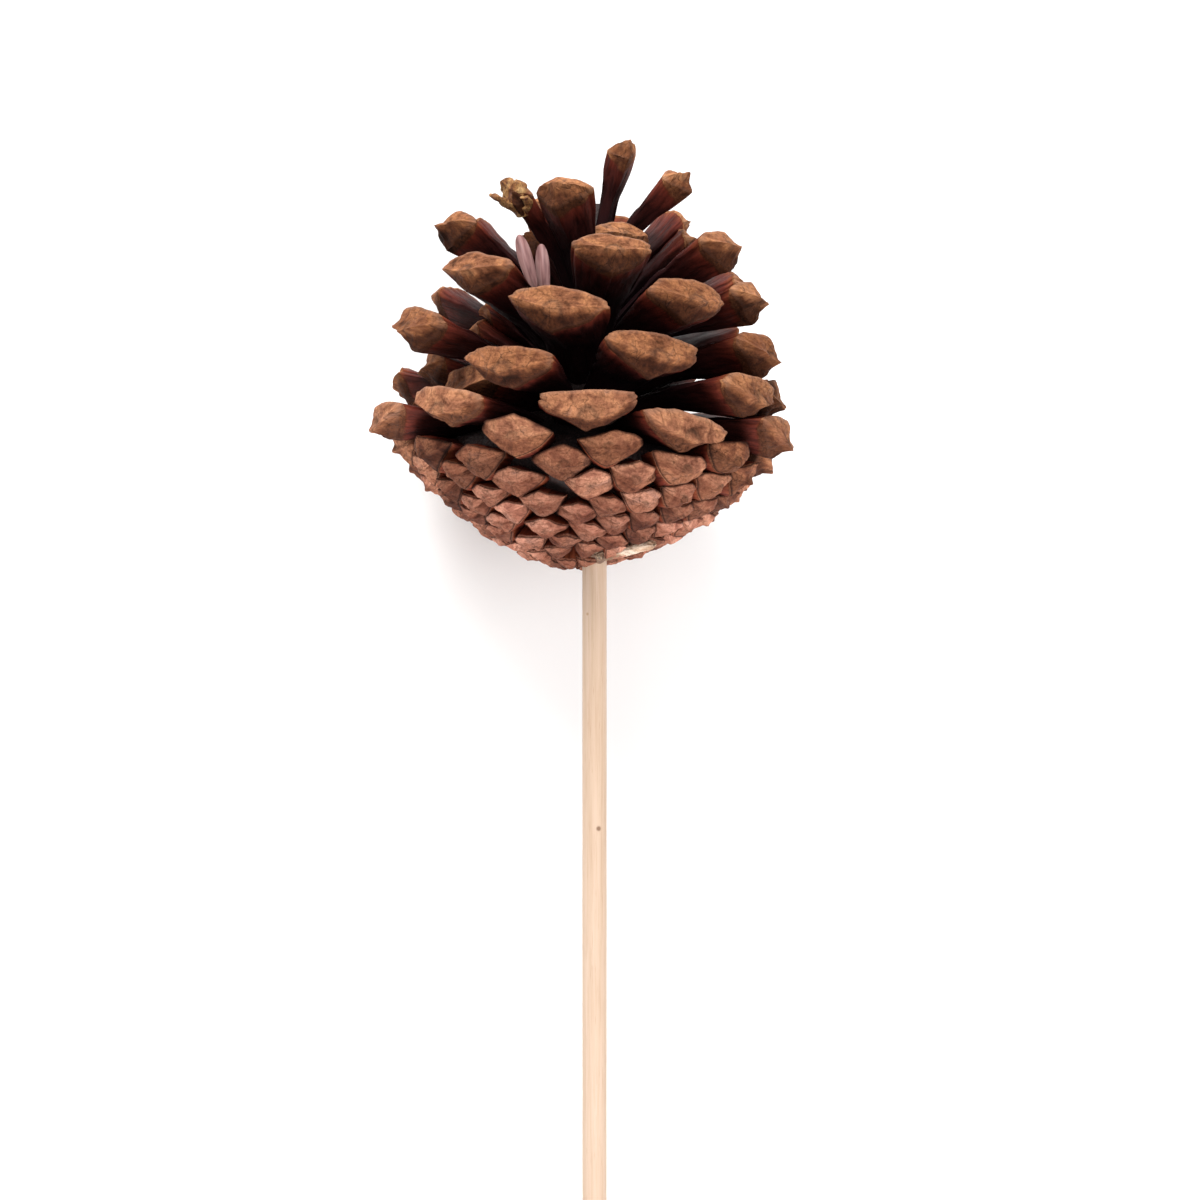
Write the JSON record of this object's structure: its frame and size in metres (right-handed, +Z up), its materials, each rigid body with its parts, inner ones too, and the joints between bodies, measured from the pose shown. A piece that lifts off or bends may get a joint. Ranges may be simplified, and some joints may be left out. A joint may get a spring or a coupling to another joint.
{
  "type": "pine cone pick",
  "caption": "Half-open pine cone fixed on the end of a straight wooden stick, lying down.",
  "frame": {"origin": "centre of the footprint, at the level of the table the pick lies on", "axes": "+Y along the stick towards the cone, +Z up from the table, +X to the cone's right seen from its front"},
  "size_m": [0.068, 0.2898, 0.0672],
  "materials": {
    "cone_scales": "dry and rough",
    "stick_wood": "plain sanded",
    "hot_glue": "satin",
    "splinter_wood": "raw",
    "seed_wing": "papery"
  },
  "bodies": {
    "root": {"cone": "cone_scales", "stick": "stick_wood", "glue": "hot_glue", "splinter": "splinter_wood", "seed_wing_a": "seed_wing", "seed_wing_b": "seed_wing"}
  },
  "joints": []
}
